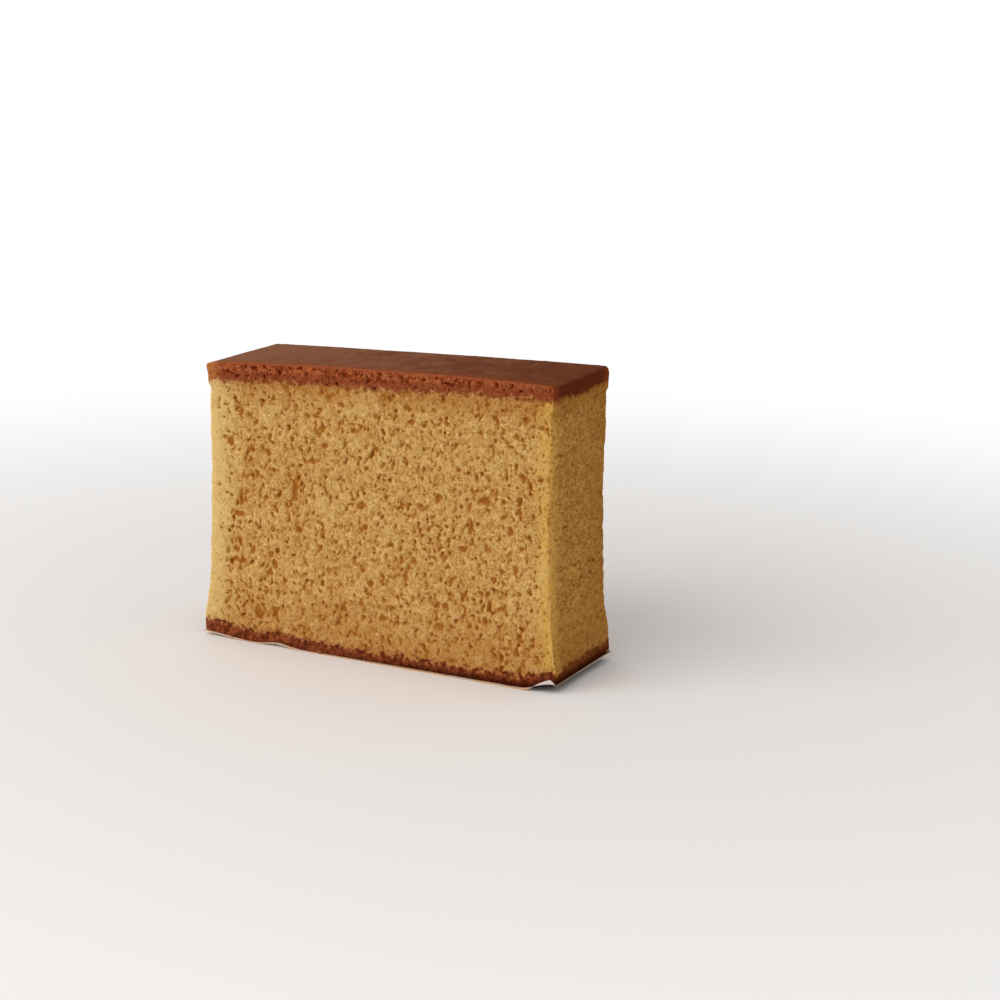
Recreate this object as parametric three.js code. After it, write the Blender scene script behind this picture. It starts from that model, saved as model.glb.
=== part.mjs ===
// One slice of castella sponge cake, standing on the strip of paper that it was baked on.
//
// The loaf was baked in a wooden frame and cut across with a knife. The slice's two large faces are the
// knife cuts, and its two narrow ends are the loaf's long sides. The crumb has shrunk a little between the
// browned crust above, which hangs over it as a low lip, and the browned base below, which flares out to
// the paper.
//
// Millimetres, +Z up. X runs across the slice from end to end, Y runs through it from one cut to the other,
// with the front cut at -Y, and the origin lies on the surface that the paper rests on, under the middle.

import * as THREE from "three";

// The slice
const HEIGHT = 50.5;
const TOP_WIDTH = 65.6;
const BASE_WIDTH = 68.8;
const THICKNESS = 21.8;
const CRUST_DEPTH = 3.4; // of the browned layer on top, down to where its lip ends
const LIP = 0.45; // how far that layer stands out over the crumb at each end
const LIP_BLEND = 1.2; // height over which the lip turns back into the crumb
const WAIST = 0.6; // how much further in than that the ends lie at mid-height
const FLARE_HEIGHT = 14; // below this the ends run out to the full width of the base
const FRONT_DROP = 0.8; // how much lower the top's front edge is at its ends than in the middle
const BACK_DROP = 0.15;
const CROWN_POWER = 3;
const TOP_TILT = 0.8; // the top rises this much from the middle to the +X end, and falls as much to -X
const LEFT_SWELL = 0.25; // how much further out the -X end stands than the +X end
const LEFT_SWELL_HEIGHT = 4; // above this it has that much, and at the base nothing
const LEFT_NOSE = 0.5; // how much further still its lip stands out at the top
const SHOULDER_RADIUS = 1.1;
const FOOT_RADIUS = 0.6;

// How the underside leaves the table, paper and all
const LEFT_CURL = 0.7; // height of the -X end's edge
const LEFT_CURL_LENGTH = 10;
const RIGHT_CURL = 1.4;
const RIGHT_CURL_LENGTH = 7;
const RIPPLE_HEIGHT = 0.55; // one low wrinkle that runs in from the front edge
const RIPPLE_X = -19.2;
const RIPPLE_HALF_WIDTH = 3;
const RIPPLE_DEPTH = 7;
const RIPPLE_FOOT = 0.02; // share of its bell curve that is cut off, so that the rest is truly flat

// The paper
const PAPER_THICKNESS = 0.15;
const END_MARGIN = 0.1; // how far it shows past the base at its ends
const CUT_MARGIN = 0.5; // and past the knife cuts
const PAPER_SKEW = THREE.MathUtils.degToRad(-0.5);
const SEAT_GAP = 0.15; // between the paper and the base

// Grid cells across, through and up the slice, and over the paper
const SLICE_GRID = [36, 8, 26];
const PAPER_GRID = [44, 14];

const clamp = THREE.MathUtils.clamp;
const lerp = THREE.MathUtils.lerp;
const smooth = (x, low, high) => THREE.MathUtils.smoothstep(x, low, high);

/** Moves evenly spaced values from -1 to 1 towards both ends, where the form turns quickest. */
const crowd = (s) => Math.sin((s * Math.PI) / 2);

/** How near the front cut a point is: 1 on it, and 0 from the given depth inwards. */
const frontness = (y, depth) => smooth(-y, THICKNESS / 2 - depth, THICKNESS / 2);

/** How near an end of the base a point at that distance from the middle is, in the same way. */
const endness = (distance, length) => smooth(distance, BASE_WIDTH / 2 - length, BASE_WIDTH / 2);

/** Height of the slice's underside over its flat middle. */
function lift(x, y) {
  const left = LEFT_CURL * endness(-x, LEFT_CURL_LENGTH);
  const right = RIGHT_CURL * endness(x, RIGHT_CURL_LENGTH);
  const bell = Math.exp(-(((x - RIPPLE_X) / RIPPLE_HALF_WIDTH) ** 2)) * frontness(y, RIPPLE_DEPTH);
  return left + right + RIPPLE_HEIGHT * Math.max(0, bell - RIPPLE_FOOT);
}

/** Half the slice's width at height z. */
function halfWidth(z) {
  const straight = lerp(BASE_WIDTH, TOP_WIDTH, z / HEIGHT) / 2;
  const lipHeight = HEIGHT - CRUST_DEPTH;
  const underLip = LIP * (1 - smooth(z, lipHeight - LIP_BLEND, lipHeight));
  const waist = WAIST * (1 - smooth(z, HEIGHT / 2, lipHeight));
  return straight - (underLip + waist) * smooth(z, 0, FLARE_HEIGHT);
}

/** How much further out the -X end stands at height z than the +X end does. */
function leftSwell(z) {
  return LEFT_SWELL * smooth(z, 0, LEFT_SWELL_HEIGHT) + LEFT_NOSE * smooth(z, HEIGHT - CRUST_DEPTH, HEIGHT);
}

/** Height of the top at a place from -1 to 1 across the slice and from -1, in front, to 1 through it. */
function topHeight(across, through) {
  const drop = lerp(FRONT_DROP, BACK_DROP, (through + 1) / 2);
  return HEIGHT + TOP_TILT * across - drop * Math.abs(across) ** CROWN_POWER;
}

/**
 * Rounds the corners of the upright rectangle that x, from -1 to 1, and height, from 0 to 1, run over.
 * Inside a corner's square each point goes to the quarter circle through it.
 */
function roundCorners(across, up) {
  const half = TOP_WIDTH / 2;
  const radius = up > 0.5 ? SHOULDER_RADIUS : FOOT_RADIUS;
  const x = across * half;
  const z = up * HEIGHT;
  const innerX = clamp(x, radius - half, half - radius);
  const innerZ = clamp(z, radius, HEIGHT - radius);
  const dx = x - innerX;
  const dz = z - innerZ;
  const length = Math.hypot(dx, dz);
  if (length === 0) return [across, up];
  const reach = Math.max(Math.abs(dx), Math.abs(dz)) / length;
  return [(innerX + dx * reach) / half, (innerZ + dz * reach) / HEIGHT];
}

/** A closed box of that many grid cells. Each vertex, from -1 to 1 on each axis, goes where place says. */
function formedBox([alongX, alongY, alongZ], place) {
  const geometry = new THREE.BoxGeometry(2, 2, 2, alongX, alongY, alongZ);
  const position = geometry.getAttribute("position");
  for (let i = 0; i < position.count; i++) {
    position.setXYZ(i, ...place(position.getX(i), position.getY(i), position.getZ(i)));
  }
  geometry.computeVertexNormals();
  return geometry;
}

function sliceGeometry() {
  return formedBox(SLICE_GRID, (s, t, h) => {
    const [across, up] = roundCorners(crowd(s), (crowd(h) + 1) / 2);
    const z = up * HEIGHT;
    const x = across * halfWidth(z) - smooth(-across, 0.5, 1) * leftSwell(z);
    const y = (t * THICKNESS) / 2;
    const underside = PAPER_THICKNESS + SEAT_GAP + lift(x, y);
    return [x, y, lerp(underside, topHeight(across, t), up)];
  });
}

function paperGeometry() {
  const halfX = BASE_WIDTH / 2 + END_MARGIN;
  const halfY = THICKNESS / 2 + CUT_MARGIN;
  const cos = Math.cos(PAPER_SKEW);
  const sin = Math.sin(PAPER_SKEW);
  return formedBox([...PAPER_GRID, 1], (s, t, side) => {
    const x = s * halfX * cos - t * halfY * sin;
    const y = s * halfX * sin + t * halfY * cos;
    return [x, y, lift(x, y) + (side > 0 ? PAPER_THICKNESS : 0)];
  });
}

/** A named mesh with a matt material of its own. */
function piece(name, geometry, colour, roughness) {
  const mesh = new THREE.Mesh(
    geometry,
    new THREE.MeshStandardMaterial({ color: colour, roughness, metalness: 0 }),
  );
  mesh.name = name;
  return mesh;
}

const castella = new THREE.Group();
castella.add(
  piece("slice", sliceGeometry(), 0xc59a55, 0.85),
  piece("paper", paperGeometry(), 0xeee6dc, 0.8),
);

export default castella;
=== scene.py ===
"""One slice of castella sponge cake on its backing paper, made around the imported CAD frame.

The slice is one closed mesh. A finely gridded box takes the form of the CAD solid, the crumb's small
hollows and bubbles are carved into the knife cuts and the ends, and triangles are taken away where the
result is flat. Lengths are millimetres until a mesh is made, because that is how pores and crusts are
measured.
"""

import math

import bmesh
import bpy
import numpy as np
from mathutils import Euler, Matrix, Vector


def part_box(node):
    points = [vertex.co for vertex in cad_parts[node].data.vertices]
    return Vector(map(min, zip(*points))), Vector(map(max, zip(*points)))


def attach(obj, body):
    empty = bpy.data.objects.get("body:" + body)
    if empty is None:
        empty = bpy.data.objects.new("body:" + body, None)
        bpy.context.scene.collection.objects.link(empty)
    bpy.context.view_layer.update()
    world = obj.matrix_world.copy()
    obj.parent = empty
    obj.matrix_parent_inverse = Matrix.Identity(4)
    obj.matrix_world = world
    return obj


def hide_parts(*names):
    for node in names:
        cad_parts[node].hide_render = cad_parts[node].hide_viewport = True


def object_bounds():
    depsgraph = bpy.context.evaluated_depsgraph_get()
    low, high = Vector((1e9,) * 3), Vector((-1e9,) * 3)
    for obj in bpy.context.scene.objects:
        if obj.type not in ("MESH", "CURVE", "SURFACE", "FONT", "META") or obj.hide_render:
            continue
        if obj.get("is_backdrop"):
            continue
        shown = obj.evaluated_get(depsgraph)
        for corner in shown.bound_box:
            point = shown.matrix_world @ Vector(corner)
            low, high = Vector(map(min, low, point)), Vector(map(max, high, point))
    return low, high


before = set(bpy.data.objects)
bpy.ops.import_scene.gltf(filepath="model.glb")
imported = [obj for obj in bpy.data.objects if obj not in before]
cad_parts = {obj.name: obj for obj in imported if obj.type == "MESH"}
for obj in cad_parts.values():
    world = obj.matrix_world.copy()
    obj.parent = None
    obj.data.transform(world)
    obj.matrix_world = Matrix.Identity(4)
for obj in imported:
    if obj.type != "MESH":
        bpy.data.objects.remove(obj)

CAD_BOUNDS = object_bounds()
MM = 0.001
SLICE_LOW, SLICE_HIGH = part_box("slice")

# The slice's form, as the CAD solid has it
THICKNESS = (SLICE_HIGH[1] - SLICE_LOW[1]) / MM
HEIGHT = 50.5
TOP_WIDTH = 65.6
BASE_WIDTH = 68.8
CRUST_DEPTH = 3.4
LIP = 0.45
LIP_BLEND = 1.2
WAIST = 0.6
FLARE_HEIGHT = 14.0
FRONT_DROP = 0.8
BACK_DROP = 0.15
CROWN_POWER = 3
TOP_TILT = 0.8
LEFT_SWELL = 0.25
LEFT_SWELL_HEIGHT = 4.0
LEFT_NOSE = 0.5
SWELL_START = 0.5  # share of the way to the left end from which on it swells
SEAT = 0.18  # height of the base's flat middle over the table

# How round its edges are: along the ends' top and foot, up the corners, and along the cuts' top and foot
SHOULDER_RADIUS = 0.8
FOOT_RADIUS = 0.35
CORNER_RADIUS = 0.5
RIM_RADIUS = 0.3
SOLE_RADIUS = 0.05
BACK_SHARE = 0.2  # of the corners' and the top edge's radius, for the edges of the back cut

# How the underside leaves the table, paper and all
LEFT_CURL = 0.7
LEFT_CURL_LENGTH = 10.0
RIGHT_CURL = 1.4
RIGHT_CURL_LENGTH = 7.0
RIPPLE_HEIGHT = 0.55
RIPPLE_X = -19.2
RIPPLE_HALF_WIDTH = 3.0
RIPPLE_DEPTH = 7.0
RIPPLE_FOOT = 0.02

# The crumb
DRAWN_OUT = 2.0  # how much longer its texture is through the slice than across and up it
DRAWN_SCALE = (1, 1 / DRAWN_OUT, 1)
DRAWN_SHIFT = (0, (1 / DRAWN_OUT - 1) * THICKNESS / 2, 0)
FACING = (0.5, 0.8)  # a normal's part along an axis, from not facing that way to facing it
TOP_CRUST = (3.8, 2.8)  # below the top, from crumb to crust
BASE_CRUST = (1.4, 2.6)  # above the base, from crust to crumb
LEFT_RIM = (1.0, 5.0)  # in from the left end, from dense crumb to open crumb
RIGHT_RIM = (0.4, 3.8)
LEFT_RIM_OPEN = 0.1  # how open the dense crumb is
RIGHT_RIM_OPEN = 0.3
CRUSTS_OPEN = 0.3
TOP_CRUST_OPEN = 0.35  # on top of that
ENDS_OPEN = 0.62
HOLLOW = 0.5  # size of the many small hollows
HOLLOW_DEPTH = 0.52
HOLLOW_LEVEL = 0.66  # how strong the noise has to be to hollow out closed crumb
HOLLOW_GAIN = 0.5  # how much less it needs in open crumb
HOLLOW_FADE = 0.3  # openness under which the hollows get shallower
HOLLOW_STRETCH = (1, 1, 0.72)  # the hollows and bubbles are taller than wide
PATCH_STRETCH = (1, 1, 0.4)  # and so are the patches in which they are larger or smaller
BUBBLE_CELL = 2.7
BUBBLE_RADII = (0.3, 0.6)
BUBBLE_SHARE = 0.25
BUBBLE_SEED = 30
STEEPNESS = 1.7
DEEPEST = 0.7
EDGE_DEPTH = 0.08  # of the deepest hole on an edge
EDGE_SLOPE = 0.6  # and how much deeper it may be for each millimetre away from the edge
CRUST_LUMPS = 0.6  # how much stronger the lumps are on the crust's cut
END_LUMPS = 0.6  # how strong they are on the ends

# Noise, in layers: how strong each one is, its cell size and its seed
PATCHES = ((0.3, 1.6, 9),)
HOLLOW_FIELD = ((1.0, HOLLOW, 20), (0.7, HOLLOW / 2, 21))
HOLLOW_WARP = ((0.18, 1.1, 0), (0.12, 0.45, 3))
POCKET_WARP = ((0.3, 0.8, 40),)
LUMPS = ((0.065, 0.42, 50), (0.055, 0.9, 51))
WAVES = ((0.05, 6.0, 52), (0.015, 1.4, 53))  # of the whole surface
SWAY = ((0.13, 4.2, 54), (0.1, 1.4, 55))  # of the ends
LOOSE_LUMPS = ((0.35, 0.3, 60),)  # of the loose crumbs

POCKET_DEPTH = 0.38
POCKETS = (  # the largest bubbles that the front cut opened: across and up, and half their width and height
    (-26.2, 41.1, 0.5, 1.0),
    (-28.5, 35.7, 0.5, 0.8),
    (-20.7, 34.6, 0.8, 0.6),
    (-23.2, 30.7, 0.8, 0.5),
    (-15.4, 28.9, 0.6, 1.9),
    (-26.4, 25.7, 0.5, 1.1),
    (-27.1, 23.0, 1.2, 0.5),
    (-14.9, 21.6, 0.5, 0.7),
    (-24.1, 16.8, 0.5, 0.8),
    (-28.0, 14.7, 0.9, 0.5),
    (-26.2, 14.7, 0.7, 0.5),
    (-19.6, 14.8, 0.6, 1.0),
    (-20.7, 13.2, 0.9, 0.6),
    (-11.9, 33.9, 0.7, 0.6),
    (-23.2, 5.7, 0.9, 1.0),
    (-19.6, 6.1, 0.7, 0.9),
    (-13.8, 11.4, 0.5, 0.6),
    (-6.8, 6.3, 0.6, 0.8),
    (-2.3, 10.2, 0.6, 0.7),
    (-0.5, 14.1, 0.6, 0.7),
    (-2.5, 27.3, 0.5, 0.8),
    (-1.6, 23.6, 0.5, 0.7),
    (-6.4, 44.1, 0.6, 0.4),
    (6.3, 44.8, 0.6, 0.5),
    (26.3, 42.1, 0.5, 0.6),
    (27.8, 44.8, 0.5, 0.6),
    (26.3, 37.0, 0.4, 0.6),
    (27.4, 35.5, 0.7, 0.6),
    (20.8, 30.8, 0.7, 0.8),
    (12.3, 30.2, 0.6, 0.9),
    (18.3, 26.2, 0.4, 1.6),
    (17.0, 22.3, 0.8, 0.6),
    (25.5, 26.3, 0.6, 0.9),
    (27.6, 23.6, 0.6, 0.5),
    (5.4, 18.9, 0.5, 1.0),
    (6.1, 16.1, 0.5, 1.2),
    (13.4, 19.9, 0.4, 0.4),
    (21.7, 15.2, 0.6, 0.5),
    (22.2, 13.2, 0.5, 0.9),
    (21.1, 10.4, 0.5, 0.8),
    (13.8, 11.8, 0.6, 0.8),
    (3.6, 10.2, 0.7, 0.7),
    (1.7, 8.4, 0.6, 0.6),
    (18.3, 9.3, 0.5, 0.5),
    (-28.6, 47.7, 1.3, 0.4),  # and those in the crust
    (-23.4, 49.0, 0.55, 0.55),
    (-18.6, 48.6, 0.55, 0.45),
    (-5.6, 49.0, 0.4, 0.4),
    (6.3, 49.0, 0.4, 0.35),
    (7.9, 48.2, 0.4, 0.35),
    (9.4, 49.8, 0.45, 0.3),
    (14.0, 49.4, 1.5, 0.3),
    (27.0, 49.4, 0.5, 0.3),
)

# The paper
PAPER_THICKNESS = 0.12
END_MARGIN = 0.2
CUT_MARGIN = 0.5
PAPER_SKEW = math.radians(-0.5)
PAPER_COLUMNS = 260
PAPER_ROWS = 45  # under the slice
STRIP_ROWS = 15  # in front of it
FLAP = (29.9, 33.5, 34.8)  # where the strip in front is folded up: its start, its peak and its end
FLAP_HEIGHT = 1.1
FLAP_CURVE = 0.6  # power by which it rises to its peak
UPRIGHT_HEIGHT = 0.35  # where it is that tall, the strip stands fully upright
FOLD_SHARE = 0.3  # of the strip's width, over which it bends up
FOLD_GAP = 0.35  # between the cut and the upright strip
FOLD_LEAN = 0.12  # how much further out its edge stands
CREASE_SHADOW_ALONG = (0.1, 0.4)  # height of the flap, from where there is no painted shadow along the crease to where it is dark
CREASE_SHADOW_UP = (0.42, 0.28)  # height over the fold, in the same way

# The slice's mesh
GRID = 0.15
TRIANGLES = 197_000
NEARLY_ZERO = 1e-9


# ---------------------------------------------------------------- form


def smooth(value, low, high):
    """0 at low and under, 1 at high and over, and an S-curve between them."""
    t = np.clip((value - low) / (high - low), 0, 1)
    return t * t * (3 - 2 * t)


def frontness(y, depth):
    """1 on the front cut, and 0 from that depth inwards."""
    return smooth(-y, THICKNESS / 2 - depth, THICKNESS / 2)


def endness(distance, length):
    """1 at an end of the base, and 0 from that length inwards."""
    return smooth(distance, BASE_WIDTH / 2 - length, BASE_WIDTH / 2)


def lift(x, y):
    """Height of the underside over its flat middle."""
    left = LEFT_CURL * endness(-x, LEFT_CURL_LENGTH)
    right = RIGHT_CURL * endness(x, RIGHT_CURL_LENGTH)
    bell = np.exp(-(((x - RIPPLE_X) / RIPPLE_HALF_WIDTH) ** 2)) * frontness(y, RIPPLE_DEPTH)
    return left + right + RIPPLE_HEIGHT * np.maximum(0, bell - RIPPLE_FOOT)


def half_width(z):
    straight = (BASE_WIDTH + (TOP_WIDTH - BASE_WIDTH) * z / HEIGHT) / 2
    lip_height = HEIGHT - CRUST_DEPTH
    under_lip = LIP * (1 - smooth(z, lip_height - LIP_BLEND, lip_height))
    waist = WAIST * (1 - smooth(z, HEIGHT / 2, lip_height))
    return straight - (under_lip + waist) * smooth(z, 0, FLARE_HEIGHT)


def left_swell(z):
    """How much further out than the right end the left end stands."""
    return LEFT_SWELL * smooth(z, 0, LEFT_SWELL_HEIGHT) + LEFT_NOSE * smooth(z, HEIGHT - CRUST_DEPTH, HEIGHT)


def top_height(across, through):
    """Height of the top, at places from -1 to 1 across the slice and through it."""
    drop = FRONT_DROP + (BACK_DROP - FRONT_DROP) * (through + 1) / 2
    return HEIGHT + TOP_TILT * across - drop * np.abs(across) ** CROWN_POWER


def round_corners(u, v, half_u, half_v, radius):
    """Rounds the corners of the rectangle that u and v run over. What lies inside it follows."""
    inner_u = np.clip(u, radius - half_u, half_u - radius)
    inner_v = np.clip(v, radius - half_v, half_v - radius)
    du = u - inner_u
    dv = v - inner_v
    length = np.maximum(np.hypot(du, dv), NEARLY_ZERO)
    reach = np.maximum(np.abs(du), np.abs(dv)) / length
    return inner_u + du * reach, inner_v + dv * reach


def distances(points):
    """How far points lie inside the uncarved slice's ends, knife cuts, top and base."""
    x, y, z = points.T
    across = np.clip(x / half_width(z), -1, 1)
    through = np.clip(2 * y / THICKNESS, -1, 1)
    from_end = half_width(z) + np.where(x < 0, left_swell(z), 0) - np.abs(x) - sway(points)
    return from_end, THICKNESS / 2 - np.abs(y), top_height(across, through) - z, z - SEAT - lift(x, y)


# ---------------------------------------------------------------- randomness in space

SEED = 31
TABLE_SIZE = 8192
PRIMES = (73856093, 19349663, 83492791)  # one for each axis, to mix a cell's place with
MIXING_SHIFT = 13
TWIST = np.array(Euler((0.7, 0.5, 0.9)).to_matrix())  # keeps the noise's lattice from showing on flat faces


def pick(cells, table):
    """The table's value for each cell of a lattice, mixed so that neighbours have nothing in common."""
    mixed = cells[:, 0] * PRIMES[0] ^ cells[:, 1] * PRIMES[1] ^ cells[:, 2] * PRIMES[2]
    return table[(mixed ^ (mixed >> MIXING_SHIFT)) % len(table)]


def noise(points, cell, seed):
    """Smooth noise from -1 to 1, with a random value at each corner of a turned lattice of that cell size."""
    table = np.random.default_rng(SEED + seed).uniform(-1, 1, TABLE_SIZE)
    place = points @ TWIST / cell
    home = np.floor(place).astype(np.int64)
    share = place - home
    share = share * share * (3 - 2 * share)
    total = np.zeros(len(points))
    for corner in np.ndindex(2, 2, 2):
        total += pick(home + corner, table) * np.prod(np.where(corner, share, 1 - share), axis=1)
    return total


def layered(points, layers, shift=0):
    """The sum of layers of noise. The shift is added to their seeds."""
    return sum(strength * noise(points, cell, seed + shift) for strength, cell, seed in layers)


def warp(points, layers):
    """Offsets along the three axes, each from layers of noise of its own."""
    return np.stack([layered(points, layers, axis) for axis in range(3)], axis=1)


def drawn(points):
    """Places with the slice's thickness shortened towards the front cut, for what is drawn out along it."""
    return points * DRAWN_SCALE + DRAWN_SHIFT


def sway(points):
    """How far the ends stray inwards from their straight form."""
    return layered(points, SWAY)


def scattered(points, cell, seed):
    """Offsets from random places, one in each lattice cell round the points, and a random value of each."""
    tables = np.random.default_rng(SEED + seed).uniform(0, 1, (4, TABLE_SIZE))
    home = np.floor(points / cell).astype(np.int64)
    for step in np.ndindex(3, 3, 3):
        near = home + np.array(step) - 1
        centre = np.stack([pick(near, table) for table in tables[:3]], axis=1)
        yield points - (near + centre) * cell, pick(near, tables[3])


def bubbles(points, inward, openness):
    """How deep round bubbles reach in from each point."""
    small, large = BUBBLE_RADII
    depth = np.zeros(len(points))
    for offset, chance in scattered(points, BUBBLE_CELL, BUBBLE_SEED):
        size = np.clip(chance / BUBBLE_SHARE, 0, 1)
        radius = np.where(size < 1, small + (large - small) * size ** 2, 0) * openness
        along = np.einsum("ij,ij->i", offset, inward)
        aside = np.sqrt(np.maximum(np.einsum("ij,ij->i", offset, offset) - along ** 2, 0))
        bottom = np.sqrt(np.maximum(radius ** 2 - aside ** 2, 0)) - along
        wall = STEEPNESS * (np.sqrt(np.maximum(radius ** 2 - along ** 2, 0)) - aside)
        depth = np.maximum(depth, np.minimum(bottom, wall))
    return depth


def pockets(points):
    """How deep the largest bubbles reach in from the front cut."""
    x, y, z = (points + warp(points, POCKET_WARP)).T
    depth = np.zeros(len(points))
    for middle_x, middle_z, half_x, half_z in POCKETS:
        inside = 1 - ((x - middle_x) / half_x) ** 2 - ((z - middle_z) / half_z) ** 2
        depth = np.maximum(depth, POCKET_DEPTH * np.sqrt(np.maximum(inside, 0)))
    return np.where(y < 0, depth, 0)


# ---------------------------------------------------------------- meshes


def box_grid(counts):
    """A closed gridded box: the whole-number places of its vertices, and its quads."""
    strides = np.array([(counts[1] + 1) * (counts[2] + 1), counts[2] + 1, 1])
    quads = []
    for axis in range(3):
        first, second = [i for i in range(3) if i != axis]
        u, v = np.meshgrid(np.arange(counts[first]), np.arange(counts[second]), indexing="ij")
        for side in (0, counts[axis]):
            start = side * strides[axis] + u.ravel() * strides[first] + v.ravel() * strides[second]
            steps = [0, strides[first], strides[first] + strides[second], strides[second]]
            outward = (side > 0) != (axis == 1)
            quads.append(np.stack([start + step for step in (steps if outward else steps[::-1])], axis=1))
    keys, quads = np.unique(np.concatenate(quads), return_inverse=True)
    across = keys // strides[0]
    through = keys // strides[1] % (counts[1] + 1)
    up = keys % (counts[2] + 1)
    return np.stack([across, through, up], axis=1), quads.reshape(-1, 4)


def normals_of(points, quads):
    face = np.cross(points[quads[:, 2]] - points[quads[:, 0]], points[quads[:, 3]] - points[quads[:, 1]])
    normals = np.zeros_like(points)
    for corner in range(4):
        for axis in range(3):
            normals[:, axis] += np.bincount(quads[:, corner], face[:, axis], len(points))
    return normals / np.linalg.norm(normals, axis=1, keepdims=True)


def soften(points, quads):
    """Moves every vertex halfway to the middle of its neighbours."""
    ends = np.concatenate([quads[:, [i, (i + 1) % 4]] for i in range(4)])
    count = np.bincount(ends[:, 0], minlength=len(points))
    middle = [np.bincount(ends[:, 0], points[ends[:, 1], axis], len(points)) / count for axis in range(3)]
    return (points + np.stack(middle, axis=1)) / 2


def new_object(name, points, faces):
    """An object from points in millimetres and faces that all have the same number of corners."""
    mesh = bpy.data.meshes.new(name)
    mesh.vertices.add(len(points))
    mesh.vertices.foreach_set("co", (points * MM).ravel())
    mesh.loops.add(faces.size)
    mesh.loops.foreach_set("vertex_index", faces.ravel().astype(np.int32))
    mesh.polygons.add(len(faces))
    mesh.polygons.foreach_set("loop_start", np.arange(0, faces.size, faces.shape[1], dtype=np.int32))
    mesh.update(calc_edges=True)
    made = bpy.data.objects.new(name, mesh)
    bpy.context.collection.objects.link(made)
    return made


def thin(made, triangles):
    """Collapses edges where the surface is flattest until that many triangles are left."""
    before = sum(len(face.vertices) - 2 for face in made.data.polygons)
    step = made.modifiers.new("thin", "DECIMATE")
    step.ratio = triangles / before
    step.use_collapse_triangulate = True
    evaluated = made.evaluated_get(bpy.context.evaluated_depsgraph_get())
    thinned = bpy.data.meshes.new_from_object(evaluated)
    made.modifiers.clear()
    made.data = thinned


def points_of(mesh):
    """The mesh's vertices in millimetres."""
    values = np.empty(len(mesh.vertices) * 3)
    mesh.vertices.foreach_get("co", values)
    return values.reshape(-1, 3) / MM


def store(mesh, name, values):
    layer = mesh.attributes.new(name, "FLOAT", "POINT")
    layer.data.foreach_set("value", values.astype(np.float32))


def join_frame(made, node):
    """Puts a finished piece in the part, in the CAD node's place if one is named."""
    if node:
        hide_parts(node)
    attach(made, "root")


# ---------------------------------------------------------------- the slice

FIELDS = ("from_end", "from_cut", "below_top", "above_base")


def slice_form():
    """The uncarved slice as a fine mesh."""
    half = np.array([TOP_WIDTH, THICKNESS, HEIGHT]) / 2
    counts = tuple(round(2 * span / GRID) for span in half)
    places, quads = box_grid(counts)
    x, y, z = ((2 * places / np.array(counts) - 1) * half).T
    x, z = round_corners(x, z, half[0], half[2], np.where(z > 0, SHOULDER_RADIUS, FOOT_RADIUS))
    share = np.where(y > 0, BACK_SHARE, 1)
    x, y = round_corners(x, y, half[0], half[1], CORNER_RADIUS * share)
    y, z = round_corners(y, z, half[1], half[2], np.where(z > 0, RIM_RADIUS * share, SOLE_RADIUS))
    across = x / half[0]
    up = (z / half[2] + 1) / 2
    x = across * half_width(up * HEIGHT) - smooth(-across, SWELL_START, 1) * left_swell(up * HEIGHT)
    bottom = SEAT + lift(x, y)
    z = bottom + (top_height(across, y / half[1]) - bottom) * up
    return np.stack([x, y, z], axis=1), quads


def pores(points, inward):
    """How deep the crumb's holes are at each point of the uncarved slice."""
    from_end, from_cut, below_top, above_base = distances(points)
    from_edge = np.sort(np.abs(np.stack([from_end, from_cut, below_top, above_base])), axis=0)[1]
    on_cut = smooth(np.abs(inward[:, 1]), *FACING)
    on_end = smooth(np.abs(inward[:, 0]), *FACING)
    top_crust = smooth(below_top, *TOP_CRUST)
    crumb = (1 - top_crust) * smooth(above_base, *BASE_CRUST)
    left = points[:, 0] < 0
    rim = np.where(left, smooth(from_end, *LEFT_RIM), smooth(from_end, *RIGHT_RIM))
    rim_open = np.where(left, LEFT_RIM_OPEN, RIGHT_RIM_OPEN)
    in_crumb = crumb * (rim_open + (1 - rim_open) * rim)
    in_cut = in_crumb + CRUSTS_OPEN * (1 - crumb) + TOP_CRUST_OPEN * top_crust
    openness = on_cut * in_cut + ENDS_OPEN * on_end * crumb
    place = drawn(points)
    openness *= 1 + layered(place * PATCH_STRETCH, PATCHES)
    warped = place * HOLLOW_STRETCH + warp(place, HOLLOW_WARP)
    field = layered(warped, HOLLOW_FIELD)
    carved = np.maximum(0, field - HOLLOW_LEVEL + HOLLOW_GAIN * openness)
    hollows = HOLLOW_DEPTH * carved * smooth(openness, 0, HOLLOW_FADE)
    larger = np.maximum(bubbles(warped, inward, openness), on_cut * pockets(points))
    depth = np.minimum(np.maximum(hollows, larger), DEEPEST)
    lumpy = on_cut * (1 + CRUST_LUMPS * top_crust) + END_LUMPS * on_end * crumb
    relief = lumpy * layered(place, LUMPS)
    waves = layered(points, WAVES)
    return np.minimum(depth, EDGE_DEPTH + EDGE_SLOPE * from_edge) + relief + waves + on_end * sway(points)


# How the slice's sides lie on its flat sheet: the two axes seen, and where the sheet has the origin
SHEET = 142.0
CHARTS = {
    "front": (0, 2, 36, 1),
    "back": (0, 2, 107, 1),
    "left": (1, 2, 12, 54),
    "right": (1, 2, 36, 54),
    "top": (0, 1, 85, 66),
    "base": (0, 1, 85, 90),
}


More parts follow.
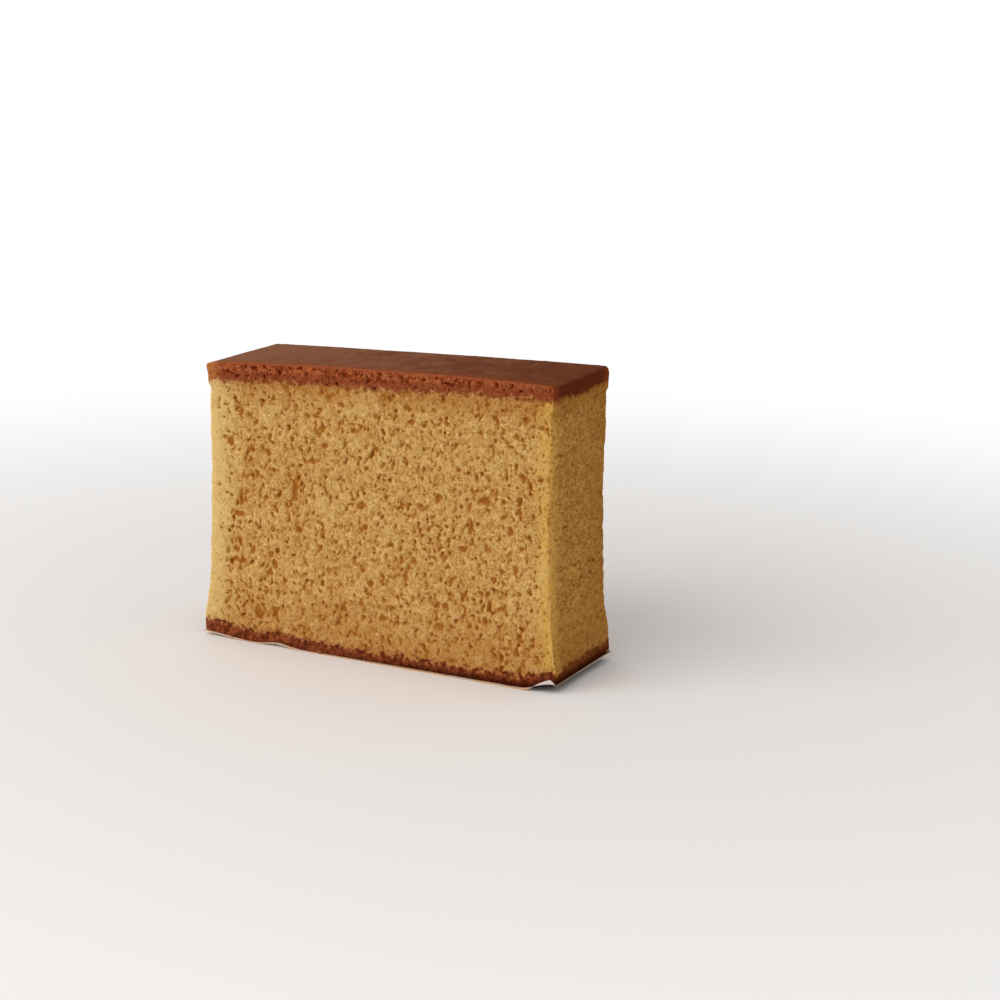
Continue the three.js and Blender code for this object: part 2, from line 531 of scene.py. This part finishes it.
def unwrap(mesh):
    """Gives the mesh flat coordinates that keep every side whole and apart from the others."""
    corners = np.empty(len(mesh.loops), dtype=np.int32)
    mesh.loops.foreach_get("vertex_index", corners)
    points = points_of(mesh)[corners].reshape(-1, 3, 3)
    middle = points.mean(axis=1)
    from_end, from_cut, below_top, above_base = distances(middle)
    nearest = np.argmin([
        np.where(middle[:, 1] < 0, from_cut, np.inf),
        np.where(middle[:, 1] >= 0, from_cut, np.inf),
        np.where(middle[:, 0] < 0, from_end, np.inf),
        np.where(middle[:, 0] >= 0, from_end, np.inf),
        below_top,
        above_base,
    ], axis=0)
    flat = np.zeros((len(middle), 3, 2))
    for number, (first, second, right, up) in enumerate(CHARTS.values()):
        facets = nearest == number
        flat[facets] = (points[facets][:, :, (first, second)] + (right, up)) / SHEET
    layer = mesh.uv_layers.new(name="OFBake")
    layer.data.foreach_set("uv", flat.ravel())


def make_slice():
    points, quads = slice_form()
    inward = -normals_of(points, quads)
    points += inward * pores(points, inward)[:, None]
    made = new_object("castella_slice", soften(points, quads), quads)
    thin(made, TRIANGLES)
    made.data.shade_smooth()
    for name, values in zip(FIELDS, distances(points_of(made.data))):
        store(made.data, name, values)
    unwrap(made.data)
    made.data.materials.append(sponge_material())
    join_frame(made, "slice")


# ---------------------------------------------------------------- the paper and what lies on it


def flap_height(x):
    """How tall the folded-up strip in front of the slice is."""
    start, peak, end = FLAP
    rise = np.clip((x - start) / (peak - start), 0, 1) ** FLAP_CURVE
    return FLAP_HEIGHT * np.minimum(rise, np.clip((end - x) / (end - peak), 0, 1))


def make_paper():
    """The sheet, with the strip that shows in front of the slice folded up at one corner."""
    half_x = BASE_WIDTH / 2 + END_MARGIN
    half_y = THICKNESS / 2 + CUT_MARGIN
    front = -THICKNESS / 2
    strip = np.linspace(-half_y, front, STRIP_ROWS)[:-1]
    rows = np.concatenate([strip, np.linspace(front, half_y, PAPER_ROWS)])
    columns = np.linspace(-half_x, half_x, PAPER_COLUMNS)
    places, quads = box_grid((len(columns) - 1, len(rows) - 1, 1))
    flat_x = columns[places[:, 0]]
    flat_y = rows[places[:, 1]]
    x = flat_x * math.cos(PAPER_SKEW) - flat_y * math.sin(PAPER_SKEW)
    y = flat_x * math.sin(PAPER_SKEW) + flat_y * math.cos(PAPER_SKEW)
    out = np.clip((front - flat_y) / CUT_MARGIN, 0, 1)
    flap = flap_height(x)
    folded = smooth(flap, 0, UPRIGHT_HEIGHT) * smooth(out, 0, FOLD_SHARE)
    y = y + folded * (front - FOLD_GAP - FOLD_LEAN * out - y)
    z = lift(x, np.maximum(y, front)) + out * flap
    side = places[:, 2] * PAPER_THICKNESS
    points = np.stack([x, y + side * folded, z + side * (1 - folded)], axis=1)
    made = new_object("baking_paper", points, quads)
    made.data.shade_smooth()
    store(made.data, "folded", folded)
    # A near-black band low on the folded-up strip: painted shadow under the fold
    store(made.data, "crease_shadow", smooth(flap, *CREASE_SHADOW_ALONG) * smooth(out * flap, *CREASE_SHADOW_UP))
    made.data.materials.append(paper_material())
    join_frame(made, "paper")


CRUMB_SUBDIVISIONS = 3
CRUMBS = (  # middle, and half its length, width and height
    ((-10.5, -11.1, 0.34), (0.45, 0.28, 0.24)),
    ((33.8, 9.6, 1.9), (0.85, 0.8, 0.35)),
    ((14.2, -11.15, 0.2), (0.16, 0.13, 0.11)),
    ((-28.6, -11.1, 0.5), (0.14, 0.14, 0.1)),
    ((22.6, 11.2, 0.2), (0.2, 0.16, 0.13)),
    ((-7.3, 11.15, 0.24), (0.3, 0.2, 0.17)),
)


def make_crumbs():
    shape = bmesh.new()
    for middle, half in CRUMBS:
        ball = bmesh.ops.create_icosphere(shape, subdivisions=CRUMB_SUBDIVISIONS, radius=1)["verts"]
        points = np.array([vertex.co for vertex in ball]) * half + middle
        lumpy = middle + (points - middle) * (1 + layered(points, LOOSE_LUMPS))[:, None]
        for vertex, place in zip(ball, lumpy):
            vertex.co = Vector(place) * MM
    mesh = bpy.data.meshes.new("castella_crumbs")
    shape.to_mesh(mesh)
    shape.free()
    made = bpy.data.objects.new("castella_crumbs", mesh)
    bpy.context.collection.objects.link(made)
    mesh.shade_smooth()
    mesh.materials.append(crumb_material())
    join_frame(made, None)


# ---------------------------------------------------------------- materials


def srgb(red, green, blue):
    """A colour for a shader from its usual 0 to 255 values."""
    parts = (part / 255 for part in (red, green, blue))
    return (*(part / 12.92 if part <= 0.04045 else ((part + 0.055) / 1.055) ** 2.4 for part in parts), 1)


# The sockets of a mix node that are for colours
MIX_FIRST = 6
MIX_SECOND = 7
MIX_RESULT = 2

NOISE_ROUGHNESS = 0.6  # how strong each finer layer of a noise is beside the one before


class Shader:
    """A material's nodes, added by short calls that take numbers, colours and other nodes' outputs."""

    def __init__(self, name):
        self.material = bpy.data.materials.new(name)
        self.material.use_nodes = True
        self.tree = self.material.node_tree
        self.surface = self.tree.nodes["Principled BSDF"].inputs

    def put(self, socket, value):
        if isinstance(value, bpy.types.NodeSocket):
            self.tree.links.new(value, socket)
        else:
            socket.default_value = value

    def add(self, kind, *values, **settings):
        node = self.tree.nodes.new("ShaderNode" + kind)
        for key, value in settings.items():
            setattr(node, key, value)
        for socket, value in zip(node.inputs, values):
            self.put(socket, value)
        return node

    def total(self, *parts):
        """The sum of values and of (value, factor) pairs."""
        result = 0.0
        for part in parts:
            value, factor = part if isinstance(part, tuple) else (part, 1.0)
            result = self.add("Math", value, factor, result, operation="MULTIPLY_ADD").outputs[0]
        return result

    def product(self, first, *others):
        for other in others:
            first = self.add("Math", first, other, operation="MULTIPLY").outputs[0]
        return first

    def least(self, first, *others):
        for other in others:
            first = self.add("Math", first, other, operation="MINIMUM").outputs[0]
        return first

    def greatest(self, first, second):
        return self.add("Math", first, second, operation="MAXIMUM").outputs[0]

    def step(self, value, low, high):
        """0 at low, 1 at high and an S-curve between them. Low may be the larger."""
        node = self.add("MapRange", value, min(low, high), max(low, high), interpolation_type="SMOOTHSTEP")
        node.inputs["To Min"].default_value = float(low > high)
        node.inputs["To Max"].default_value = float(low < high)
        return node.outputs[0]

    def mix(self, share, first, second):
        node = self.add("Mix", data_type="RGBA")
        self.put(node.inputs["Factor"], share)
        self.put(node.inputs[MIX_FIRST], first)
        self.put(node.inputs[MIX_SECOND], second)
        return node.outputs[MIX_RESULT]

    def millimetres(self):
        node = self.add("VectorMath", self.add("TexCoord").outputs["Object"], operation="SCALE")
        node.inputs["Scale"].default_value = 1 / MM
        return node.outputs[0]

    def noise(self, place, size, detail=2.0):
        """Noise round 0, from about -0.5 to 0.5, with features of that many millimetres."""
        node = self.add("TexNoise", place)
        node.inputs["Scale"].default_value = 1 / size
        node.inputs["Detail"].default_value = detail
        node.inputs["Roughness"].default_value = NOISE_ROUGHNESS
        return self.total(node.outputs["Fac"], -0.5)

    def value(self, name):
        """A value that the mesh stores at its vertices."""
        return self.add("Attribute", attribute_name=name).outputs["Fac"]

    def bump(self, height):
        """Raises the surface by a height in millimetres."""
        node = self.add("Bump")
        node.inputs["Distance"].default_value = MM
        self.put(node.inputs["Height"], height)
        self.put(self.surface["Normal"], node.outputs[0])


CRUMB_LIGHT = srgb(203, 164, 100)
CRUMB_DARK = srgb(170, 125, 64)
CRUMB_MOIST_AND_SHADED = srgb(162, 110, 53)
CRUMB_TOP = srgb(218, 184, 124)
SHALLOW_PIT = srgb(160, 100, 39)
DEEP_PIT = srgb(118, 53, 9)
PAINTED_GLINT = srgb(222, 194, 142)
RIM = srgb(216, 186, 120)
RIM_YELLOW = srgb(202, 160, 78)
END_LIGHT = srgb(198, 148, 77)
END_DARK = srgb(156, 103, 42)
END_PIT = srgb(124, 73, 22)
END_CORNER_LIGHT = srgb(218, 166, 84)
BAND_LIGHT = srgb(174, 98, 57)
BAND_DARK = srgb(108, 43, 18)
BAND_PIT = srgb(86, 19, 3)
BAND_EDGE = srgb(144, 76, 44)
LINE = srgb(131, 66, 38)
TIP = srgb(168, 104, 58)
END_CRUST_DARK = srgb(97, 41, 21)
END_CRUST_LIGHT = srgb(126, 56, 30)
SKIN_DARK = srgb(95, 51, 32)
SKIN_LIGHT = srgb(124, 81, 59)
SKIN_FRONT = srgb(134, 64, 30)
BASE_DEEP = srgb(54, 14, 4)
BASE_DARK = srgb(86, 36, 17)
BASE_LIGHT = srgb(142, 74, 42)
BASE_FRINGE = srgb(150, 92, 42)
END_BASE = srgb(108, 60, 26)
PAPER_CLEAN = srgb(206, 189, 184)
PAPER_STAINED = srgb(214, 176, 136)
# Near black: painted shadow along the crease of the folded-up strip
PAINTED_CREASE_SHADOW = srgb(26, 12, 8)

# Sizes of the noise in the materials, in millimetres
FINE = 0.3
SPOT = 0.42
GRAIN = 0.8
SLOW = 3.2
FIBRE = 0.5
STAIN = 4.0
LOOSE_GRAIN = 0.2

# How far a full step of each noise raises the surface, in millimetres
FINE_BUMP = 0.11
SPOT_BUMP = -0.07
FIBRE_BUMP = 0.03
LOOSE_BUMP = 0.06

# How light passes through the sponge: its share, how far each colour goes, and the scale of that
SUBSURFACE = 0.4
SUBSURFACE_RADIUS = (1.0, 0.5, 0.2)
SUBSURFACE_SCALE = 1.2 * MM

# Where the sponge's zones start to show and where they show fully, in millimetres
BACK_EDGES = (8.0, 12.0)  # from the front cut. Behind it the corners have the back's smaller radius
NEARER_END = (-0.1, 0.3)  # how much nearer the end is than the cut
LEFT_SIDE = (0.0, -1.0)
LEFT_PART = (-8.0, -28.0)
RIGHT_PART = (5.0, 28.0)
END_BEHIND = (2.0, 8.0)
FOOT_BY_ENDS = (14.0, 2.0)
FOOT_CORNER = (9.0, 0.0)
UNDER_TOP = (8.0, 3.2)
OVER_BASE = (14.0, 2.5)
STAINED_TOP = (6.0, 4.0)
LEFT_HALF = (10.0, -10.0)
WIDE_RIM = (8.0, -1.5)
NARROW_RIM = (3.6, 0.2)
FRONT_CORNER = (4.5, 0.3)
END_BACK = (8.0, 22.0)
END_FOOT = (14.0, 3.0)
END_TOP = (7.0, 3.0)
CRUST_EDGE = (0.5, 0.15)
CRUST_LINE = (1.45, 2.05)
CRUST_TIP = (3.2, 1.0)
END_CRUST_EDGE = (3.0, 0.3)
SKIN_EDGE = (6.0, 1.0)
BURNT = (1.5, 0.2)
BURNT_SIDE = (-30.0, 30.0)
CRUST_BAND = (3.9, 2.6)
BASE_BAND = (2.2, 1.5)
BASE_FADE = (3.0, 1.9)
SKIN_DEPTH = (0.35, 0.12)
SKIN_FROM_FRONT = (0.2, 0.9)


class Sponge(Shader):
    """The slice's own shader: what its zones have in common, and the colour of each of them.

    Where a step has two numbers, they are strengths of a noise, or depths of a hole in millimetres. A
    product's last number is how strongly its zone shows.
    """

    def __init__(self):
        super().__init__("sponge")
        place = self.millimetres()
        drawn_out = self.add("VectorMath", place, DRAWN_SCALE, DRAWN_SHIFT, operation="MULTIPLY_ADD")
        self.place = drawn_out.outputs[0]
        self.x, y, _ = self.add("SeparateXYZ", place).outputs
        self.from_front = self.total(y, THICKNESS / 2)
        self.from_end, self.from_cut, self.below_top, self.above_base = (self.value(name) for name in FIELDS)
        self.on_end = self.step(self.total(self.from_cut, (self.from_end, -1.0)), *NEARER_END)
        self.fine = self.noise(self.place, FINE)
        self.grain = self.noise(self.place, GRAIN)
        self.slow = self.noise(self.place, SLOW)
        self.mottle = self.total(self.fine, self.grain)
        spots = self.total(self.noise(self.place, SPOT, 1.0), (self.slow, 0.3))
        self.hollow = self.step(spots, 0.06, 0.22)
        # How deep a place lies in a hole, less what the rounding of the upright corners takes off
        cavity = self.least(self.from_end, self.from_cut, self.below_top, self.above_base)
        at_back = self.step(self.from_front, *BACK_EDGES)
        radius = self.total((at_back, (BACK_SHARE - 1) * CORNER_RADIUS), CORNER_RADIUS)
        by_end = self.greatest(self.total((self.from_end, -1.0), radius), 0.0)
        by_cut = self.greatest(self.total((self.from_cut, -1.0), radius), 0.0)
        both = self.add("CombineXYZ", by_end, by_cut, 0.0).outputs[0]
        diagonal = self.add("VectorMath", both, operation="LENGTH").outputs["Value"]
        self.pit = self.total(cavity, (self.fine, 0.2), self.greatest(by_end, by_cut), (diagonal, -1.0))

    def crumb(self):
        """Pale crumb with darker pits. It is darker by top and base, where it is moister and shade is
        painted, and denser in a rim at each end.
        """
        colour = self.mix(self.step(self.mottle, -0.28, 0.25), CRUMB_DARK, CRUMB_LIGHT)
        # Darker under the top and over the base: moister crumb, and painted shade
        under_top = self.step(self.below_top, *UNDER_TOP)
        over_base = self.step(self.above_base, *OVER_BASE)
        colour = self.mix(self.total((under_top, 0.7), (over_base, 0.5)), colour, CRUMB_MOIST_AND_SHADED)
        stain = self.product(self.step(self.slow, 0.08, 0.25), self.step(self.below_top, *STAINED_TOP))
        colour = self.mix(self.product(stain, 0.6), colour, SHALLOW_PIT)
        left = self.step(self.x, *LEFT_HALF)
        from_rim = self.total(self.from_end, (self.slow, 1.5), (self.grain, 2.5))
        wide = self.product(self.step(from_rim, *WIDE_RIM), 0.9)
        narrow = self.product(self.step(from_rim, *NARROW_RIM), 0.75)
        rim = self.total(self.product(wide, left), narrow, (self.product(narrow, left), -1.0))
        colour = self.mix(rim, colour, self.mix(left, RIM_YELLOW, RIM))
        # Lighter on raised crumb: painted light
        raised = self.product(self.step(self.pit, 0.0, -0.14), 0.45)
        colour = self.mix(raised, colour, CRUMB_TOP)
        # Small light dots: painted glints on the moist crumb
        glints = self.product(self.step(self.fine, 0.12, 0.22), 0.85)
        colour = self.mix(glints, colour, PAINTED_GLINT)
        open_crumb = self.total((self.product(rim, left), -0.8), 1.0)
        colour = self.mix(self.product(self.hollow, open_crumb, 0.75), colour, SHALLOW_PIT)
        dots = self.product(self.step(self.fine, -0.15, -0.24), open_crumb, 0.75)
        colour = self.mix(dots, colour, DEEP_PIT)
        # Darker with depth in the holes: painted shade
        colour = self.mix(self.step(self.pit, -0.02, 0.3), colour, SHALLOW_PIT)
        return self.mix(self.step(self.pit, 0.25, 0.7), colour, DEEP_PIT)

    def end(self):
        """The loaf's side: denser crumb, with painted light along the front corner and painted shade to the
        back, low down and under the top crust.
        """
        colour = self.mix(self.step(self.mottle, -0.3, 0.3), END_DARK, END_LIGHT)
        # Lighter along the front corner: painted light, for light carried round from the lit front cut
        corner_light = self.product(self.step(self.from_front, *FRONT_CORNER), 0.7)
        colour = self.mix(corner_light, colour, END_CORNER_LIGHT)
        # Darker to the back, low down at the front and under the top crust: painted shade
        back = self.step(self.from_front, *END_BACK)
        foot = self.product(self.step(self.above_base, *END_FOOT), self.total((back, -0.5), 0.5))
        shade = self.total(foot, (self.step(self.below_top, *END_TOP), 0.7), (back, 0.4))
        colour = self.mix(self.least(shade, 0.8), colour, END_DARK)
        colour = self.mix(self.product(self.hollow, 0.65), colour, END_PIT)
        # Darker with depth in the holes: painted shade
        return self.mix(self.step(self.pit, 0.12, 0.5), colour, END_PIT)

    def top_crust(self, depth):
        """The browned layer on top, in section: mottled, with a more even upper edge and lower part."""
        colour = self.mix(self.step(self.mottle, -0.2, 0.22), BAND_DARK, BAND_LIGHT)
        edge = self.product(self.step(self.below_top, *CRUST_EDGE), 0.8)
        colour = self.mix(edge, colour, BAND_EDGE)
        line = self.product(self.step(depth, *CRUST_LINE), 0.8)
        colour = self.mix(line, colour, LINE)
        by_end = self.step(self.total(self.from_end, self.grain), *CRUST_TIP)
        tip = self.product(by_end, self.step(self.x, *LEFT_SIDE))
        colour = self.mix(tip, colour, TIP)
        colour = self.mix(self.product(self.hollow, 0.5), colour, BAND_PIT)
        # Darker with depth in the holes: painted shade
        colour = self.mix(self.step(self.pit, 0.1, 0.42), colour, BAND_PIT)
        ragged_cut = self.total(self.from_cut, (self.slow, 2.0), (self.fine, 1.5))
        near_cut = self.step(ragged_cut, *END_CRUST_EDGE)
        return self.mix(self.on_end, colour, self.mix(near_cut, END_CRUST_DARK, END_CRUST_LIGHT))

    def skin(self):
        """The top's smooth surface: a painted sheen makes it lighter to the left and darker to the right, and
        it is redder along the front edge.
        """
        # The slope across x is a painted sheen; the noise is uneven browning
        sheen_and_browning = self.total((self.x, -0.009), (self.slow, 0.7), (self.mottle, 0.35))
        colour = self.mix(self.step(sheen_and_browning, -0.35, 0.35), SKIN_DARK, SKIN_LIGHT)
        by_front = self.product(self.step(self.from_front, *SKIN_EDGE), 0.3)
        return self.mix(by_front, colour, SKIN_FRONT)

    def base_crust(self):
        """The browned layer at the foot, burnt darker low down and to the right."""
        lumps = self.total((self.grain, 1.5), (self.fine, 0.2))
        colour = self.mix(self.step(lumps, -0.26, 0.26), BASE_DARK, BASE_LIGHT)
        colour = self.mix(self.product(self.on_end, 0.7), colour, END_BASE)
        low = self.step(self.total(self.above_base, (self.on_end, -0.15)), *BURNT)
        burnt = self.product(low, self.step(self.x, *BURNT_SIDE), 0.9)
        colour = self.mix(burnt, colour, BASE_DEEP)
        # Darker with depth in the holes: painted shade
        pits = self.product(self.step(self.pit, 0.12, 0.5), 0.6)
        return self.mix(pits, colour, BASE_DEEP)

    def crust_depth(self):
        """Distance below the top, made ragged, that the crust's lower edge follows, and the raggedness."""
        end_share = self.product(self.on_end, self.step(self.from_front, *END_BEHIND))
        ragged = self.product(self.grain, self.total((self.on_end, -0.4), 1.0))
        thinning = self.total((self.step(self.x, *RIGHT_PART), 0.85), (end_share, -0.35))
        depth = self.total(self.below_top, (ragged, 2.6), (self.fine, 0.8), (self.slow, 1.4), thinning)
        return depth, ragged

    def foot_height(self, ragged):
        """Distance above the base, made ragged, that the base crust's upper edge follows."""
        by_ends = self.product(self.step(self.from_end, *FOOT_BY_ENDS), 0.25)
        to_left = self.product(self.step(self.x, *LEFT_PART), 0.2)
        at_corner = self.product(self.on_end, self.step(self.from_front, *FOOT_CORNER), 0.6)
        thicker = ((by_ends, -1.0), (to_left, -1.0))
        return self.total(self.above_base, (ragged, 3.0), self.slow, *thicker, at_corner)


def sponge_material():
    shader = Sponge()
    depth, ragged = shader.crust_depth()
    foot = shader.foot_height(ragged)
    at_top = shader.step(shader.below_top, *SKIN_DEPTH)
    on_skin = shader.product(at_top, shader.step(shader.from_front, *SKIN_FROM_FRONT))
    colour = shader.mix(shader.on_end, shader.crumb(), shader.end())
    colour = shader.mix(shader.step(depth, *CRUST_BAND), colour, shader.top_crust(depth))
    colour = shader.mix(on_skin, colour, shader.skin())
    fringe = shader.product(shader.step(foot, *BASE_FADE), 0.5)
    colour = shader.mix(fringe, colour, BASE_FRINGE)
    colour = shader.mix(shader.step(foot, *BASE_BAND), colour, shader.base_crust())
    shader.put(shader.surface["Base Color"], colour)
    shader.put(shader.surface["Roughness"], shader.total((on_skin, -0.3), (shader.fine, -0.6), 0.85))
    shader.surface["Specular IOR Level"].default_value = 0.0
    shader.surface["Subsurface Weight"].default_value = SUBSURFACE
    shader.surface["Subsurface Radius"].default_value = SUBSURFACE_RADIUS
    shader.surface["Subsurface Scale"].default_value = SUBSURFACE_SCALE
    relief = shader.total((shader.fine, FINE_BUMP), (shader.hollow, SPOT_BUMP))
    shader.bump(shader.product(relief, shader.total((on_skin, -0.85), 1.0)))
    return shader.material


def paper_material():
    shader = Shader("paper")
    place = shader.millimetres()
    fibres = shader.noise(place, FIBRE)
    soaked = shader.total(shader.noise(place, STAIN), (shader.value("folded"), -0.6))
    colour = shader.mix(shader.step(soaked, -0.3, 0.1), PAPER_CLEAN, PAPER_STAINED)
    shader.put(shader.surface["Base Color"], shader.mix(shader.value("crease_shadow"), colour, PAINTED_CREASE_SHADOW))
    shader.put(shader.surface["Roughness"], shader.total((fibres, 0.3), 0.75))
    shader.surface["Specular IOR Level"].default_value = 0.2
    shader.bump(shader.product(fibres, FIBRE_BUMP))
    return shader.material


def crumb_material():
    shader = Shader("loose_crumb")
    lumps = shader.noise(shader.millimetres(), LOOSE_GRAIN)
    shader.put(shader.surface["Base Color"], shader.mix(shader.step(lumps, -0.2, 0.25), BAND_DARK, TIP))
    shader.surface["Roughness"].default_value = 0.8
    shader.bump(shader.product(lumps, LOOSE_BUMP))
    return shader.material


# ---------------------------------------------------------------- stage, light and camera

FLOOR_CLEAR = 0.06  # distance in metres up to which the floor is solid
FLOOR_GONE = 0.29  # and at which it has faded out
FLOOR_COLOUR = srgb(240, 236, 233)
AMBIENT = 0.6  # strength of the white all round as a light. The camera sees it at full white
KEY_PLACE = Vector((-0.3, -0.6, 0.45))
KEY_AIM = Vector((0, 0, 0.02))
KEY_SIZE = 0.8
KEY_POWER = 4.9
CAMERA_PLACE = Vector((163.31, -294.26, 103.57)) * MM
CAMERA_TURN = math.radians(26.245)
CAMERA_TILT = math.radians(12.883)
CAMERA_ROLL = math.radians(0.993)
SENSOR = 36.0
LENS = 72.0
CLIP_START = 0.01


def floor_material():
    """A pale floor that fades into the white of the studio away from the slice."""
    shader = Shader("floor")
    shader.surface["Base Color"].default_value = FLOOR_COLOUR
    shader.surface["Roughness"].default_value = 0.7
    shader.surface["Specular IOR Level"].default_value = 0.2
    place = shader.add("TexCoord").outputs["Object"]
    away = shader.add("VectorMath", place, operation="LENGTH").outputs["Value"]
    nodes = shader.tree.nodes
    fade = shader.add("MixShader", shader.step(away, FLOOR_CLEAR, FLOOR_GONE))
    shader.put(fade.inputs[1], nodes["Principled BSDF"].outputs[0])
    shader.put(fade.inputs[2], shader.add("BsdfTransparent").outputs[0])
    shader.put(nodes["Material Output"].inputs["Surface"], fade.outputs[0])
    return shader.material


def make_stage():
    corners = np.array([(-1, -1, 0), (1, -1, 0), (1, 1, 0), (-1, 1, 0)]) * FLOOR_GONE / MM
    floor = new_object("floor", corners, np.array([[0, 1, 2, 3]]))
    floor.data.materials.append(floor_material())
    floor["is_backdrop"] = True
    world = bpy.data.worlds.new("studio")
    world.use_nodes = True
    nodes = world.node_tree.nodes
    seen = nodes.new("ShaderNodeLightPath").outputs["Is Camera Ray"]
    strength = nodes.new("ShaderNodeMapRange")
    strength.inputs["To Min"].default_value = AMBIENT
    world.node_tree.links.new(seen, strength.inputs["Value"])
    world.node_tree.links.new(strength.outputs[0], nodes["Background"].inputs["Strength"])
    nodes["Background"].inputs["Color"].default_value = (1, 1, 1, 1)
    bpy.context.scene.world = world


def make_light():
    light = bpy.data.lights.new("key", "AREA")
    light.energy = KEY_POWER
    light.size = KEY_SIZE
    made = bpy.data.objects.new("key", light)
    bpy.context.collection.objects.link(made)
    made.location = KEY_PLACE
    made.rotation_euler = (KEY_AIM - KEY_PLACE).to_track_quat("-Z", "Y").to_euler()


def make_camera():
    data = bpy.data.cameras.new("camera")
    data.lens = LENS
    data.sensor_width = SENSOR
    data.clip_start = CLIP_START
    camera = bpy.data.objects.new("camera", data)
    bpy.context.collection.objects.link(camera)
    turn = Matrix.Rotation(CAMERA_TURN, 4, "Z")
    tilt = Matrix.Rotation(math.pi / 2 - CAMERA_TILT, 4, "X")
    roll = Matrix.Rotation(CAMERA_ROLL, 4, "Z")
    camera.matrix_world = Matrix.Translation(CAMERA_PLACE) @ turn @ tilt @ roll
    bpy.context.scene.camera = camera


make_slice()
make_paper()
make_crumbs()
make_stage()
make_light()
make_camera()
bpy.context.scene.view_settings.view_transform = "Standard"

[[list(corner) for corner in box] for box in (CAD_BOUNDS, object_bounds())]
